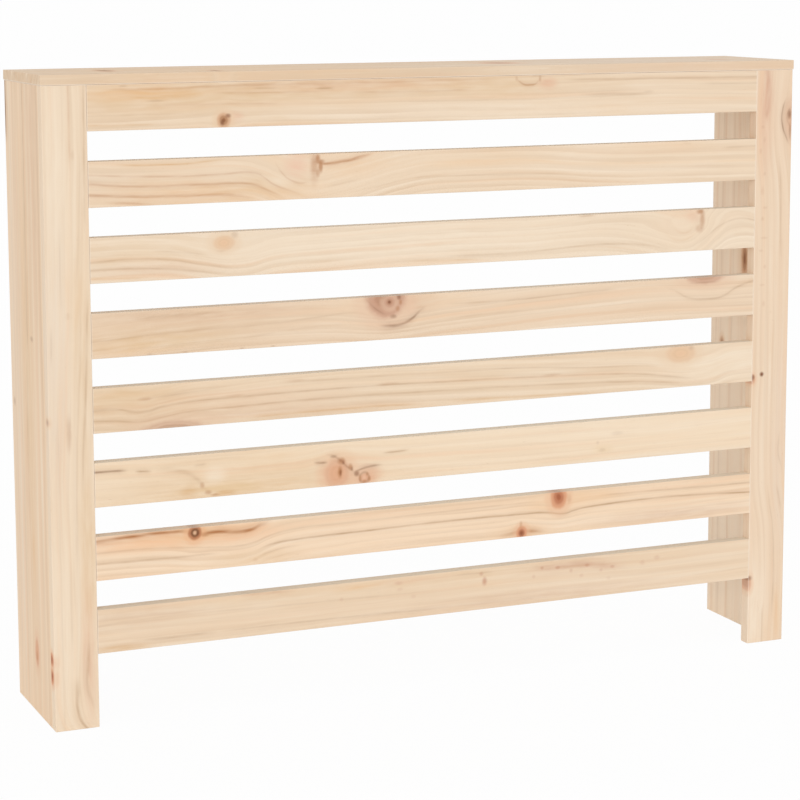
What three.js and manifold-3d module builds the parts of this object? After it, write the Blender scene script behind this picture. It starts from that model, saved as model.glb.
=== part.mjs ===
// Slatted pine radiator cover: a top board on two side panels, with a front frame of level slats
// dowelled between two stiles. Battens and wood screws in the inner corners hold the boards together.
//
// Millimetres, +Z up. The front faces -Y and the open back +Y. The origin is on the floor,
// below the middle of the top board.

import * as THREE from 'three';
import { mergeVertices } from 'three/addons/utils/BufferGeometryUtils.js';
import Module from 'manifold-3d';

// ---------------------------------------------------------------- driving sizes

const overallHeight = 840; // floor to the upper face of the top board
const bodyWidth = 1083; // over the outer edges of the stiles
const bodyDepth = 189; // face of the stiles to the back edges of the side panels
const topThickness = 13;
const topSideOverhang = 1;
const topFrontOverhang = 1;

const panelThickness = 15;
const stileWidth = 58;
const stileThickness = 18;
const slatCount = 8;
const slatHeight = 58;
const slatThickness = 18;
const footClearance = 97; // floor to the lowest slat

const arris = 0.8; // radius that eases every long edge of the boards and battens
const jointGap = 0.1; // glue line, or the gap of a dry joint

const dowelDiameter = 8;
const dowelLength = 40;
const dowelInset = 14; // slat's long edge to the axis of the nearer dowel
const dowelChamfer = 1;
const fluteCount = 8;
const fluteDepth = 0.35;
const dowelClearance = 0.3; // all round a dowel in its hole
const dowelRelief = 1.5; // room for glue past each end of a dowel

const battenSide = 18; // the battens are square in section
const battenFootClearance = 60; // floor to the corner battens
const cleatBackInset = 20; // back edge of a side panel to the end of its cleat
const cleatScrewInset = 35; // end of a cleat to the nearer screw

const screwDiameter = 4;
const screwHeadDiameter = 8;
const screwHeadHeight = 2.4;
const screwHeadRim = 0.4;
const screwTipLength = 5;
const screwClearance = 0.3; // all round a screw in its hole
const screwTipRelief = 1;
const stileSkin = 6; // wood left in front of a screw in a stile
const topSkin = 4; // wood left above a screw in the top board
const recessWidth = 1.1; // cross recess in the screw heads
const recessSpan = 4.6;
const recessDepth = 1.4;

const arcSegments = 1; // an arc doubles it: two steps in each quarter of an eased edge
const roundSides = 12; // sides of the drilled holes
const screwSides = 16;

// ---------------------------------------------------------------- sizes that follow

const frontFace = topFrontOverhang - (bodyDepth + topFrontOverhang) / 2;
const backFace = frontFace + bodyDepth;
const stileBack = frontFace + stileThickness;
const topUnderside = overallHeight - topThickness;
const legHeight = topUnderside - jointGap;

const stileInnerEdge = bodyWidth / 2 - stileWidth;
const panelInnerFace = bodyWidth / 2 - panelThickness;
const panelFront = stileBack + jointGap;

const slatLength = 2 * (stileInnerEdge - jointGap);
const slatPitch = (legHeight - footClearance - slatHeight) / (slatCount - 1);
const slatCentre = (row) => legHeight - slatHeight / 2 - row * slatPitch;
const dowelDepthIn = frontFace + Math.min(slatThickness, stileThickness) / 2;

const cornerBattenTop = legHeight - battenSide - jointGap;
const battenCentre = panelInnerFace - jointGap - battenSide / 2;
const cleatFront = panelFront;
const cleatBack = backFace - cleatBackInset;

const SIDES = { left: -1, right: 1 };

// ---------------------------------------------------------------- materials

const wood = (color, roughness = 0.62) => new THREE.MeshStandardMaterial({ color, roughness, metalness: 0 });
const slatPine = wood(0xecd2b0);
const stilePine = wood(0xeed6b8);
const panelPine = wood(0xe6cbaa);
const topPine = wood(0xe8cdac);
const battenPine = wood(0xdfc49c, 0.72);
const beech = wood(0xd8b48a, 0.7);
const zincSteel = new THREE.MeshStandardMaterial({ color: 0xb9bcc0, roughness: 0.35, metalness: 1 });

// ---------------------------------------------------------------- cutting

const wasm = await Module();
wasm.setup();

// A closed geometry as a solid that can be cut.
function toSolid(geometry) {
  const triangles = geometry.index ? geometry.toNonIndexed() : geometry;
  const bare = new THREE.BufferGeometry().setAttribute('position', triangles.getAttribute('position'));
  const merged = mergeVertices(bare, 1e-4);
  return new wasm.Manifold(
    new wasm.Mesh({
      numProp: 3,
      vertProperties: merged.attributes.position.array,
      triVerts: new Uint32Array(merged.index.array),
    }),
  );
}

function toGeometry(solid) {
  const { vertProperties, triVerts } = solid.getMesh();
  const shared = new THREE.BufferGeometry()
    .setAttribute('position', new THREE.BufferAttribute(vertProperties, 3))
    .setIndex(new THREE.BufferAttribute(triVerts, 1));
  const faceted = shared.toNonIndexed();
  faceted.computeVertexNormals();
  return faceted;
}

function cut(geometry, tools) {
  const solid = tools.reduce((rest, tool) => rest.subtract(toSolid(tool)), toSolid(geometry));
  return toGeometry(solid);
}

// ---------------------------------------------------------------- boards

function roundedRectangle(width, height, radius) {
  const x = width / 2 - radius;
  const y = height / 2 - radius;
  const quarter = Math.PI / 2;
  const shape = new THREE.Shape();
  shape.moveTo(x + radius, -y);
  shape.lineTo(x + radius, y);
  shape.absarc(x, y, radius, 0, quarter);
  shape.lineTo(-x, y + radius);
  shape.absarc(-x, y, radius, quarter, 2 * quarter);
  shape.lineTo(-x - radius, -y);
  shape.absarc(-x, -y, radius, 2 * quarter, 3 * quarter);
  shape.lineTo(x, -y - radius);
  shape.absarc(x, -y, radius, 3 * quarter, 4 * quarter);
  return shape;
}

// A planed board along Z, centred on the origin, with its long edges eased. Its ends are eased
// too, or sawn square where they butt against another board.
function board(width, thickness, length, { squareEnds = false } = {}) {
  const endEase = squareEnds ? 0 : 0.7 * arris;
  const geometry = new THREE.ExtrudeGeometry(roundedRectangle(width, thickness, arris), {
    depth: length - 2 * endEase,
    curveSegments: arcSegments,
    bevelEnabled: !squareEnds,
    bevelThickness: endEase,
    bevelSize: endEase,
    bevelOffset: -endEase,
    bevelSegments: 2,
  });
  return geometry.translate(0, 0, endEase - length / 2);
}

const uprightBoard = (x, y, z, options) => board(x, y, z, options);
const crosswiseBoard = (x, y, z, options) => board(z, y, x, options).rotateY(Math.PI / 2);
const deepBoard = (x, y, z, options) => board(x, z, y, options).rotateX(Math.PI / 2);

// A named piece at its place. The holes are given in the cover's own frame.
function piece(name, geometry, material, place, holes = []) {
  const drilled = holes.length
    ? cut(geometry, holes.map((hole) => hole.clone().translate(-place.x, -place.y, -place.z)))
    : geometry;
  const mesh = new THREE.Mesh(drilled, material);
  mesh.name = name;
  mesh.position.copy(place);
  return mesh;
}

// ---------------------------------------------------------------- dowels

// A fluted dowel along X: ridges all round, and a chamfer at both ends.
function dowelGeometry() {
  const radius = dowelDiameter / 2;
  const flutedCircle = (size) => {
    const points = [];
    for (let step = 0; step < 2 * fluteCount; step += 1) {
      const angle = (step * Math.PI) / fluteCount;
      const reach = step % 2 ? size - fluteDepth : size;
      points.push(new THREE.Vector2(reach * Math.cos(angle), reach * Math.sin(angle)));
    }
    return new THREE.Shape(points);
  };
  const geometry = new THREE.ExtrudeGeometry(flutedCircle(radius), {
    depth: dowelLength - 2 * dowelChamfer,
    bevelEnabled: true,
    bevelThickness: dowelChamfer,
    bevelSize: dowelChamfer,
    bevelOffset: -dowelChamfer,
    bevelSegments: 1,
  });
  return geometry.translate(0, 0, dowelChamfer - dowelLength / 2).rotateY(Math.PI / 2);
}

function dowelHole(place) {
  const radius = dowelDiameter / 2 + dowelClearance;
  const length = dowelLength + 2 * dowelRelief;
  return new THREE.CylinderGeometry(radius, radius, length, roundSides)
    .rotateZ(Math.PI / 2)
    .translate(place.x, place.y, place.z);
}

// Two dowels, one above the other, across each joint between a slat and a stile.
function slatDowels() {
  const dowels = [];
  const rise = slatHeight / 2 - dowelInset;
  for (let row = 0; row < slatCount; row += 1) {
    for (const [side, sign] of Object.entries(SIDES)) {
      for (const [level, up] of Object.entries({ upper: 1, lower: -1 })) {
        dowels.push({
          name: `slat_${row + 1}_${side}_${level}_dowel`,
          row,
          side,
          place: new THREE.Vector3(
            sign * (stileInnerEdge - jointGap / 2),
            dowelDepthIn,
            slatCentre(row) + up * rise,
          ),
        });
      }
    }
  }
  return dowels;
}

// ---------------------------------------------------------------- screws

// The outline of a countersunk wood screw, from its tip at 0 to its head at the given length. A
// hole for it is the same outline, grown, with room past the tip and clear above the head.
function screwOutline(length, grow = 0) {
  const shank = screwDiameter / 2 + grow;
  const head = screwHeadDiameter / 2 + grow;
  const tip = grow ? -screwTipRelief : 0;
  const mouth = grow ? length + screwHeadHeight : length;
  return [
    [0, tip],
    [shank * 0.35, tip],
    [shank, tip + screwTipLength],
    [shank, length - screwHeadHeight],
    [head, length - screwHeadRim],
    [head, mouth],
    [0, mouth],
  ].map(([x, y]) => new THREE.Vector2(x, y));
}

function screwGeometry(length) {
  const blank = new THREE.LatheGeometry(screwOutline(length), screwSides);
  const slot = (x, z) => new THREE.BoxGeometry(x, 2 * recessDepth, z).translate(0, length, 0);
  return cut(blank, [slot(recessSpan, recessWidth), slot(recessWidth, recessSpan)]);
}

// An outline turns about Y, which drives a screw towards the front. Others drive up.
const DRIVES = {
  forwards: (geometry) => geometry,
  upwards: (geometry) => geometry.rotateX(-Math.PI / 2),
};

function screw({ name, length, drive, tip }) {
  return piece(name, DRIVES[drive](screwGeometry(length)), zincSteel, tip);
}

function screwHole({ length, drive, tip }) {
  const hole = new THREE.LatheGeometry(screwOutline(length, screwClearance), roundSides);
  return DRIVES[drive](hole).translate(tip.x, tip.y, tip.z);
}

// Through a corner batten into the back of its stile, level with the gaps between the slats so
// that the tips stay clear of the dowels.
function battenScrews(side) {
  const bite = stileThickness - stileSkin;
  const length = bite + jointGap + battenSide;
  const gapBelow = (row) => slatCentre(row) - slatPitch / 2;
  const levels = {
    upper: gapBelow(0),
    middle: gapBelow(Math.floor(slatCount / 2) - 1),
    lower: gapBelow(slatCount - 2),
  };
  return Object.entries(levels).map(([level, height]) => ({
    name: `${side}_batten_screw_${level}`,
    length,
    drive: 'forwards',
    tip: new THREE.Vector3(SIDES[side] * battenCentre, stileBack - bite, height),
  }));
}

// Up through a cleat into the underside of the top board.
function cleatScrews(side) {
  const bite = topThickness - topSkin;
  const length = bite + jointGap + battenSide;
  const places = { front: cleatFront + cleatScrewInset, rear: cleatBack - cleatScrewInset };
  return Object.entries(places).map(([end, y]) => ({
    name: `${side}_cleat_screw_${end}`,
    length,
    drive: 'upwards',
    tip: new THREE.Vector3(SIDES[side] * battenCentre, y, topUnderside + bite),
  }));
}

// ---------------------------------------------------------------- assembly

function frontFrame() {
  const frame = new THREE.Group();
  const dowels = slatDowels();

  for (const [side, sign] of Object.entries(SIDES)) {
    const holes = [
      ...dowels.filter((dowel) => dowel.side === side).map((dowel) => dowelHole(dowel.place)),
      ...battenScrews(side).map(screwHole),
    ];
    const place = new THREE.Vector3(
      sign * (stileInnerEdge + stileWidth / 2),
      frontFace + stileThickness / 2,
      legHeight / 2,
    );
    const blank = uprightBoard(stileWidth, stileThickness, legHeight);
    frame.add(piece(`${side}_stile`, blank, stilePine, place, holes));
  }

  for (let row = 0; row < slatCount; row += 1) {
    const holes = dowels.filter((dowel) => dowel.row === row).map((dowel) => dowelHole(dowel.place));
    const place = new THREE.Vector3(0, frontFace + slatThickness / 2, slatCentre(row));
    const blank = crosswiseBoard(slatLength, slatThickness, slatHeight, { squareEnds: true });
    frame.add(piece(`slat_${row + 1}`, blank, slatPine, place, holes));
  }

  for (const dowel of dowels) {
    frame.add(piece(dowel.name, dowelGeometry(), beech, dowel.place));
  }
  return frame;
}

function sideAssembly(side) {
  const sign = SIDES[side];
  const assembly = new THREE.Group();

  const panelDepth = backFace - panelFront;
  const panelPlace = new THREE.Vector3(
    sign * (panelInnerFace + panelThickness / 2),
    panelFront + panelDepth / 2,
    legHeight / 2,
  );
  const panel = uprightBoard(panelThickness, panelDepth, legHeight);
  assembly.add(piece(`${side}_side_panel`, panel, panelPine, panelPlace));

  const battenLength = cornerBattenTop - battenFootClearance;
  const battenPlace = new THREE.Vector3(
    sign * battenCentre,
    panelFront + battenSide / 2,
    battenFootClearance + battenLength / 2,
  );
  const batten = uprightBoard(battenSide, battenSide, battenLength);
  const forwards = battenScrews(side);
  assembly.add(piece(`${side}_corner_batten`, batten, battenPine, battenPlace, forwards.map(screwHole)));

  const cleatLength = cleatBack - cleatFront;
  const cleatPlace = new THREE.Vector3(
    sign * battenCentre,
    cleatFront + cleatLength / 2,
    legHeight - battenSide / 2,
  );
  const cleat = deepBoard(battenSide, cleatLength, battenSide);
  const upwards = cleatScrews(side);
  assembly.add(piece(`${side}_top_cleat`, cleat, battenPine, cleatPlace, upwards.map(screwHole)));

  for (const fastener of [...forwards, ...upwards]) assembly.add(screw(fastener));
  return assembly;
}

function topBoard() {
  const width = bodyWidth + 2 * topSideOverhang;
  const depth = bodyDepth + topFrontOverhang;
  const place = new THREE.Vector3(0, backFace - depth / 2, topUnderside + topThickness / 2);
  const holes = Object.keys(SIDES).flatMap((side) => cleatScrews(side).map(screwHole));
  return piece('top_board', crosswiseBoard(width, depth, topThickness), topPine, place, holes);
}

const cover = new THREE.Group();
cover.name = 'radiator_cover';
cover.add(frontFrame(), sideAssembly('left'), sideAssembly('right'), topBoard());

export default cover;
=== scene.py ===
"""Looks of the slatted pine radiator cover: bare pine with its own grain and knots on each board,
zinc plated screws, a white studio and the camera of the product photograph."""

import math
from collections import namedtuple

import bpy
from mathutils import Euler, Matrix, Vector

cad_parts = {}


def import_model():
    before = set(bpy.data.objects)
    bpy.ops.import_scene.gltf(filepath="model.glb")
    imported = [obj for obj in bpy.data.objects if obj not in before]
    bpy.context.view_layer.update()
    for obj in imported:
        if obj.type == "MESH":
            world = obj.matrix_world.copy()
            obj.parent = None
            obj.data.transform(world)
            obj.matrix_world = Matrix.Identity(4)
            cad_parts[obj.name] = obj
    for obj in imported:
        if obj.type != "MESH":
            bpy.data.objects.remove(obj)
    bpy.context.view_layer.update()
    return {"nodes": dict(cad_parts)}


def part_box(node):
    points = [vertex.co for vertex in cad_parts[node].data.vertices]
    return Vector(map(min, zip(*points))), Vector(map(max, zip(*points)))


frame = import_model()

MM = 0.001
MM_PER_METRE = 1000.0
X, Y, Z = 0, 1, 2


# ------------------------------------------------------------------ sums over a surface


class Field:
    """A number that varies over a surface. Arithmetic on fields adds Math nodes to their tree."""

    def __init__(self, tree, socket):
        self.tree = tree
        self.socket = socket

    def math(self, operation, *others):
        node = self.tree.nodes.new("ShaderNodeMath")
        node.operation = operation
        for slot, part in zip(node.inputs, (self, *others)):
            connect(self.tree, part, slot)
        return Field(self.tree, node.outputs[0])

    def __add__(self, other):
        return self.math("ADD", other)

    def __sub__(self, other):
        return self.math("SUBTRACT", other)

    def __mul__(self, other):
        return self.math("MULTIPLY", other)

    def __truediv__(self, other):
        return self.math("DIVIDE", other)

    def __pow__(self, power):
        return self.math("POWER", power)

    def hypot(self, other):
        return (self * self + other * other).math("SQRT")

    def ramp(self, start, end, low=0.0, high=1.0):
        """Eases from low to high as this field goes from start to end, and stays level past them."""
        node = self.tree.nodes.new("ShaderNodeMapRange")
        node.interpolation_type = "SMOOTHSTEP"
        for slot, part in zip(node.inputs, (self, start, end, low, high)):
            connect(self.tree, part, slot)
        return Field(self.tree, node.outputs[0])


def connect(tree, part, slot):
    if isinstance(part, Field):
        tree.links.new(part.socket, slot)
    else:
        slot.default_value = part


def linear(colour, alpha=1.0):
    """An 8-bit sRGB colour as the linear values that shaders use."""
    parts = [c / 255 for c in colour]
    return (*[p / 12.92 if p <= 0.04045 else ((p + 0.055) / 1.055) ** 2.4 for p in parts], alpha)


def mix(under, over, share):
    """One colour laid over another. A colour is an sRGB triple or a colour socket."""
    tree = share.tree
    node = tree.nodes.new("ShaderNodeMix")
    node.data_type = "RGBA"
    node.clamp_factor = True
    tree.links.new(share.socket, node.inputs["Factor"])
    for colour, slot in ((under, node.inputs[6]), (over, node.inputs[7])):
        if isinstance(colour, tuple):
            slot.default_value = linear(colour)
        else:
            tree.links.new(colour, slot)
    return node.outputs[2]


SEED_SPREAD = 7.31  # keeps one seed's noise clear of the next one's


def noise(tree, places, seed, detail=2.0, roughness=0.5):
    """Noise about 0, from -1 to 1, over fields in their own units."""
    place = tree.nodes.new("ShaderNodeCombineXYZ")
    for part, slot in zip(places, place.inputs):
        connect(tree, part, slot)
    node = tree.nodes.new("ShaderNodeTexNoise")
    node.noise_dimensions = "4D"
    node.inputs["W"].default_value = seed * SEED_SPREAD
    node.inputs["Scale"].default_value = 1.0
    node.inputs["Detail"].default_value = detail
    node.inputs["Roughness"].default_value = roughness
    tree.links.new(place.outputs[0], node.inputs["Vector"])
    return Field(tree, node.outputs["Fac"]) * 2.0 - 1.0


def curve_through(along, points, reach):
    """A value along a board, on a smooth curve through (place, value) points.

    The curve's own square stands for values from -reach to reach, and points may lie outside it.
    """
    start, end = points[0][0], points[-1][0]
    node = along.tree.nodes.new("ShaderNodeFloatCurve")
    curve = node.mapping.curves[0]
    while len(curve.points) < len(points):
        curve.points.new(0.5, 0.5)
    for point, (place, value) in zip(curve.points, points):
        point.location = ((place - start) / (end - start), 0.5 + 0.5 * value / reach)
    node.mapping.use_clip = False
    node.mapping.update()
    connect(along.tree, 1.0, node.inputs["Factor"])
    connect(along.tree, (along - start) / (end - start), node.inputs["Value"])
    return (Field(along.tree, node.outputs[0]) - 0.5) * (2.0 * reach)


def new_material(name):
    material = bpy.data.materials.new(name)
    material.use_nodes = True
    tree = material.node_tree
    return material, tree, tree.nodes["Principled BSDF"]


def object_place(tree):
    """Metres along the object's own X, Y and Z."""
    place = tree.nodes.new("ShaderNodeTexCoord")
    split = tree.nodes.new("ShaderNodeSeparateXYZ")
    tree.links.new(place.outputs["Object"], split.inputs[0])
    return [Field(tree, socket) for socket in split.outputs]


# ------------------------------------------------------------------ what marks a board

# Places are in millimetres: along the grain, and across it from the board's named edge.
# line: a dark growth line through a few points. tone is 0 to 1, and width is half its breadth.
# patch: a soft stain. fleck: a small dark mark.
# knot: half length and half breadth, and, where it shows on one face only, its middle and half
# thickness through the board.
Line = namedtuple("Line", "points tone width stain", defaults=(0.3, 1.3, "late"))
Patch = namedtuple("Patch", "along across length breadth share stain", defaults=(0.5, "amber"))
Fleck = namedtuple("Fleck", "along across length breadth tone stain", defaults=(0.17, "bark"))
Knot = namedtuple("Knot", "along across length breadth look strength depth", defaults=(1.0, None))

STAINS = {
    "late": (182, 146, 110),
    "rust": (178, 120, 76),
    "ochre": (210, 164, 110),
    "amber": (233, 190, 142),
    "olive": (228, 196, 148),
    "rose": (226, 178, 148),
    "bark": (124, 76, 48),
    "tan": (205, 165, 135),
    "ash": (230, 212, 194),
    "salmon": (224, 172, 138),
    "melon": (247, 200, 165),
    "brick": (180, 104, 78),
    "pink": (234, 196, 170),
    "honey": (222, 188, 146),
    "apricot": (236, 198, 158),
    "cream": (246, 231, 210),
}

# a knot's colours at its heart, halfway out, on its outline and in its halo, and how its rings show
KnotLook = namedtuple("KnotLook", "heart body outline halo rings")
KNOT_LOOKS = {
    "brown": KnotLook((152, 104, 70), (188, 142, 106), (219, 178, 144), (231, 199, 165), 0.08),
    "ringed": KnotLook((220, 176, 140), (132, 88, 58), (190, 130, 92), (233, 180, 138), 0.0),
    "walnut": KnotLook((182, 150, 122), (203, 163, 136), (216, 180, 153), (229, 197, 168), 0.25),
    "plum": KnotLook((176, 128, 100), (196, 150, 123), (208, 166, 140), (229, 194, 166), 0.12),
    "eye": KnotLook((234, 190, 160), (214, 158, 126), (140, 90, 62), (228, 186, 154), 0.0),
    "red": KnotLook((224, 171, 134), (224, 172, 137), (223, 177, 145), (231, 194, 161), 0.06),
    "russet": KnotLook((172, 102, 70), (194, 128, 94), (220, 162, 126), (232, 187, 152), 0.05),
    "amber": KnotLook((234, 197, 162), (231, 196, 161), (231, 199, 167), (233, 206, 176), 0.04),
    "swirl": KnotLook((241, 216, 188), (238, 211, 182), (239, 215, 187), (239, 217, 190), 0.06),
}

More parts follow.
